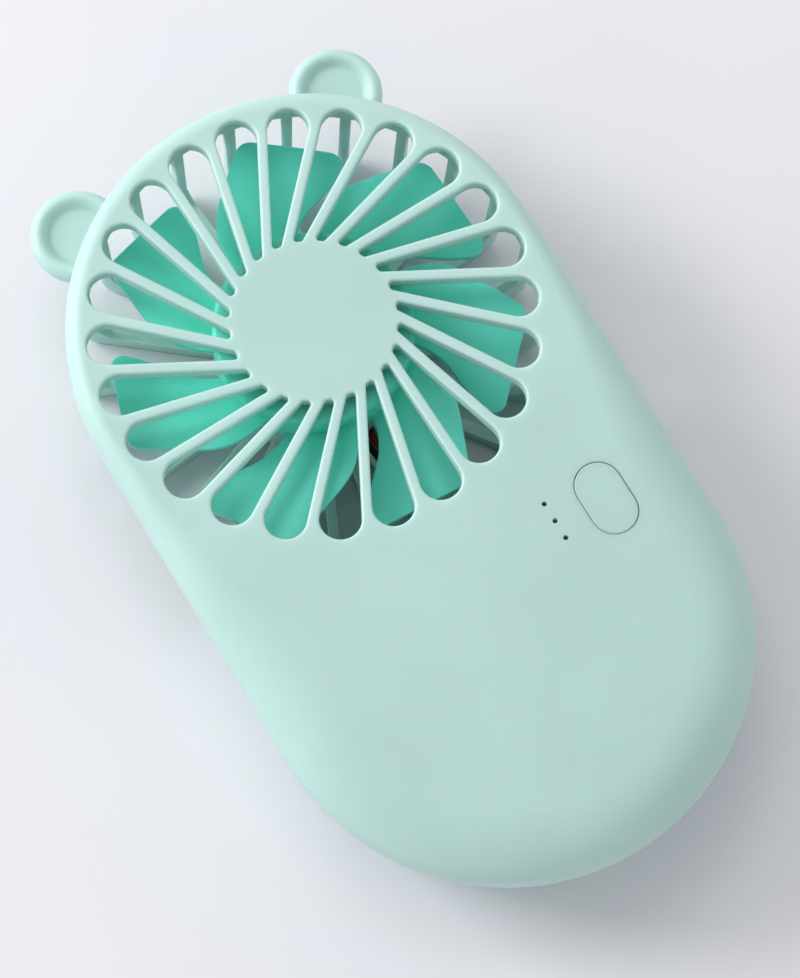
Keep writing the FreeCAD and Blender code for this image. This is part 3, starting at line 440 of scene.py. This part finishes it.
black_epoxy = moulded_abs("moulded_black_epoxy", "232325", "1c1c1e")
finish_node("board_chips", black_epoxy)
finish_node("board_passives", moulded_abs("fired_ceramic", "a58c70", "96805f"))
legs = bmesh.new()
dimples = bmesh.new()
for low, high in solid_boxes("board_chips"):
    count = max(2, round((high.x - low.x) / leg_pitch))
    pitch = (high.x - low.x) / count
    for k in range(count):
        x = low.x + (k + 0.5) * pitch
        left, right = x - leg_half_width, x + leg_half_width
        for edge_y, out in ((low.y, -1), (high.y, 1)):
            foot = sorted((edge_y, edge_y + out * leg_reach))
            riser = sorted((edge_y, edge_y + out * leg_riser))
            add_box(legs, (left, foot[0], low.z), (right, foot[1], low.z + leg_foot))
            add_box(legs, (left, riser[0], low.z), (right, riser[1], (low.z + high.z) / 2))
    add_cone(dimples, low + dimple_inset, dimple_radius, dimple_radius, high.z, high.z + dimple_proud)
new_piece("chip_legs", legs, tinned)
# The dimple is the body's epoxy in a lighter tone with the same roughness: painted sheen for its polished
# face
dimple_epoxy_painted_sheen = moulded_abs("polished_black_epoxy_painted_sheen", "343437", "2e2e31")
new_piece("chip_dimples", dimples, dimple_epoxy_painted_sheen)
ends = bmesh.new()
grown = Vector((plating, plating, plating))
for low, high in solid_boxes("board_passives"):
    band = end_share * (high.x - low.x)
    seat = low.z + plating
    add_box(ends, Vector((low.x, low.y, seat)) - grown, Vector((low.x + band, high.y, high.z)) + grown)
    add_box(ends, Vector((high.x - band, low.y, seat)) - grown, high + grown)
new_piece("passive_ends", ends, tinned)

# ------------------------------------------------------------------ tactile switch and status lights
# The switch is a moulded black block with a white nylon plunger; each light is a lens on a white carrier.
finish_node("switch_body", black_epoxy)
finish_node("switch_plunger", moulded_abs("moulded_nylon_plunger", "e8e6de", "e2dfd5"))


def clear_lens():
    """Clear epoxy over a warm white carrier, which shows through as a faint haze."""
    material, shader, place = start_material("epoxy_lens_warm_white")
    haze = grain(material, place, 0.4 * MM, 2.0).outputs["Fac"]
    set_shader(
        material,
        shader,
        Base_Color=blend_colours(material, haze, "f1ebd4", "e6dfc0"),
        Roughness=spread(material, haze, to_low=0.12, to_high=0.2),
        Normal=bump(material, haze, 0.003 * MM),
        IOR=1.52,
    )
    return material


finish_node("status_lights", clear_lens())

# ------------------------------------------------------------------ charging socket
# A folded nickel-plated shell round a black tongue with five gold-plated contacts.
contact_pitch = 0.65 * MM
contact_half_width = 0.18 * MM
contact_thickness = 0.03 * MM
contact_set_back = 0.3 * MM       # the tongue's front edge to the front of the contacts
finish_node("usb_tongue", black_epoxy)
low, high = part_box("usb_tongue")
contacts = bmesh.new()
for k in (-2, -1, 0, 1, 2):
    x = (low.x + high.x) / 2 + k * contact_pitch
    left, right = x - contact_half_width, x + contact_half_width
    add_box(contacts, (left, low.y + contact_set_back, high.z), (right, high.y, high.z + contact_thickness))
gold_plate = metal("gold_plated_contact", "e3bf6a", "d6af58", 0.22)
new_piece("usb_contacts", contacts, gold_plate)

# ------------------------------------------------------------------ battery
# A flat lithium pouch cell in aluminium laminate, its side seams folded up against the cell.
# Its protection board is wrapped in amber tape, and it sits on two pads of black foam tape.
seam_thickness = 0.18 * MM
seam_half_height = 2.3 * MM
seam_end_gap = 0.6 * MM
foam_cell = 0.35 * MM


def pressed_foil(material, place):
    """The soft dents and fine wrinkles of pouch foil."""
    dents = grain(material, place, 7 * MM, 4.0).outputs["Fac"]
    return spread(material, dents, low=0.25, high=0.75)


foil = metal("pouch_foil_laminate", "d2d4d8", "c2c4c9", 0.32, pressed_foil, 0.15 * MM)
finish_node("battery_pouch", foil)
low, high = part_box("battery_pouch")
middle = (low.z + high.z) / 2
seams = bmesh.new()
for face_x, out in ((low.x, -1), (high.x, 1)):
    left, right = sorted((face_x, face_x + out * seam_thickness))
    seam_low = (left, low.y + seam_end_gap, middle - seam_half_height)
    seam_high = (right, high.y - seam_end_gap, middle + seam_half_height)
    add_box(seams, seam_low, seam_high)
new_piece("pouch_seams", seams, foil)


def amber_tape():
    """Glossy amber tape, slightly wrinkled where it is wrapped round the edges."""
    material, shader, place = start_material("polyimide_tape_amber")
    wrinkle = grain(material, place, 1.6 * MM, 3.0).outputs["Fac"]
    set_shader(
        material,
        shader,
        Base_Color=blend_colours(material, spread(material, wrinkle), "c98f2a", "b57c1e"),
        Roughness=spread(material, wrinkle, to_low=0.18, to_high=0.3),
        Normal=bump(material, wrinkle, 0.05 * MM),
        Coat_Weight=0.5,
    )
    return material


def foam():
    """Dull black foam with open pores; the middle of each pore, where its bump sinks lowest, is painted
    darker as painted shade.
    """
    material, shader, place = start_material("foam_tape_black")
    # Distance to each pore's middle: the bump's depth, and also painted shade that darkens each pore's
    # middle
    pore_depth_and_shade = add_node(material, "TexVoronoi", {"Vector": place, "Scale": 1 / foam_cell}).outputs["Distance"]
    set_shader(
        material,
        shader,
        Base_Color=blend_colours(material, pore_depth_and_shade, "1c1c1e", "323235"),
        Roughness=0.95,
        Normal=bump(material, pore_depth_and_shade, 0.08 * MM),
    )
    return material


finish_node("battery_guard_board", amber_tape())
finish_node("battery_pads", foam())


# ------------------------------------------------------------------ leads
# Four stranded leads in soft silicone: red and black from the motor, red and black from the cell.
def silicone(name, colour, second_colour):
    """Soft matt silicone with a little dust on it."""
    material, shader, place = start_material(name)
    dust = grain(material, place, 0.5 * MM, 3.0).outputs["Fac"]
    set_shader(
        material,
        shader,
        Base_Color=blend_colours(material, spread(material, dust), colour, second_colour),
        Roughness=spread(material, dust, to_low=0.5, to_high=0.62),
        Normal=bump(material, dust, 0.006 * MM),
        IOR=1.41,
    )
    return material


red_silicone = silicone("silicone_insulation_red", "c8241e", "b81e19")
black_silicone = silicone("silicone_insulation_black", "1e1e20", "18181a")
for owner in ("motor", "battery"):
    finish_node(owner + "_lead_red", red_silicone)
    finish_node(owner + "_lead_black", black_silicone)

# ------------------------------------------------------------------ table
# A plain white table top with a very slight mottle, which the fan lies on.
table_half = 3.0                  # metres, far past all that the camera sees
table_mesh = bmesh.new()
bmesh.ops.create_grid(table_mesh, x_segments=8, y_segments=8, size=table_half)
table_data = bpy.data.meshes.new("table_top")
table_mesh.to_mesh(table_data)
table_mesh.free()
table_top = bpy.data.objects.new("table_top", table_data)
bpy.context.scene.collection.objects.link(table_top)
table_paint, table_shader, table_place = start_material("painted_table_white")
mottle = grain(table_paint, table_place, 60 * MM, 2.0).outputs["Fac"]
set_shader(
    table_paint,
    table_shader,
    Base_Color=blend_colours(table_paint, spread(table_paint, mottle), "e2e2e6", "dedee3"),
    Roughness=0.55,
    Specular_IOR_Level=0.3,
)
table_data.materials.append(table_paint)
table_top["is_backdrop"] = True

# ------------------------------------------------------------------ camera
# It looks steeply down on the fan, which lies turned so that its ears point up and to the left.
camera_azimuth = math.radians(-38.24)
camera_elevation = math.radians(74.37)
camera_roll = math.radians(7.19)
camera_distance = 499.4 * MM
camera_target = Vector((-2.48 * MM, -2.29 * MM, cad_high.z))
camera_data = bpy.data.cameras.new("camera")
camera_data.sensor_fit = "AUTO"
camera_data.sensor_width = 36.0
camera_data.lens = 128.8
camera = bpy.data.objects.new("camera", camera_data)
bpy.context.scene.collection.objects.link(camera)
level = math.cos(camera_elevation)
back = Vector((
    math.sin(camera_azimuth) * level,
    -math.cos(camera_azimuth) * level,
    math.sin(camera_elevation),
))
camera.location = camera_target + back * camera_distance
camera.rotation_mode = "QUATERNION"
camera.rotation_quaternion = back.to_track_quat("Z", "Y") @ Quaternion((0, 0, 1), camera_roll)
bpy.context.scene.camera = camera

# ------------------------------------------------------------------ light
# A broad soft window light from the left, a weaker one overhead, and a room with pale walls.
view_right = camera.rotation_quaternion @ Vector((1, 0, 0))
view_up = camera.rotation_quaternion @ Vector((0, 1, 0))


def softbox(name, right, up, height, size, watts):
    """A square area light that points at the fan, placed along the camera's right and up."""
    data = bpy.data.lights.new(name, "AREA")
    data.shape = "SQUARE"
    data.size = size
    data.energy = watts
    light = bpy.data.objects.new(name, data)
    bpy.context.scene.collection.objects.link(light)
    light.location = view_right * right + view_up * up + Vector((0, 0, height))
    light.rotation_mode = "QUATERNION"
    light.rotation_quaternion = light.location.to_track_quat("Z", "Y")


softbox("window_light", right=-0.90, up=0.3, height=0.48, size=0.50, watts=9.0)
softbox("overhead_light", right=-0.20, up=0.4, height=0.80, size=0.50, watts=1.7)
wall_strength = 1.2               # the room's light from its walls, at table height
ceiling_strength = 0.45           # and from straight above
world = bpy.data.worlds.new("room")
world.use_nodes = True
room = world.node_tree.nodes["Background"]
room.inputs["Color"].default_value = linear("f1f2f5")
sky = add_node(world, "TexCoord", {}).outputs["Generated"]
height = add_node(world, "SeparateXYZ", {"Vector": sky}).outputs["Z"]
strength = spread(world, height, 0.0, 1.0, wall_strength, ceiling_strength)
world.node_tree.links.new(strength, room.inputs["Strength"])
bpy.context.scene.world = world
bpy.context.scene.view_settings.view_transform = "Standard"

# ------------------------------------------------------------------ sizes
low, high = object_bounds()
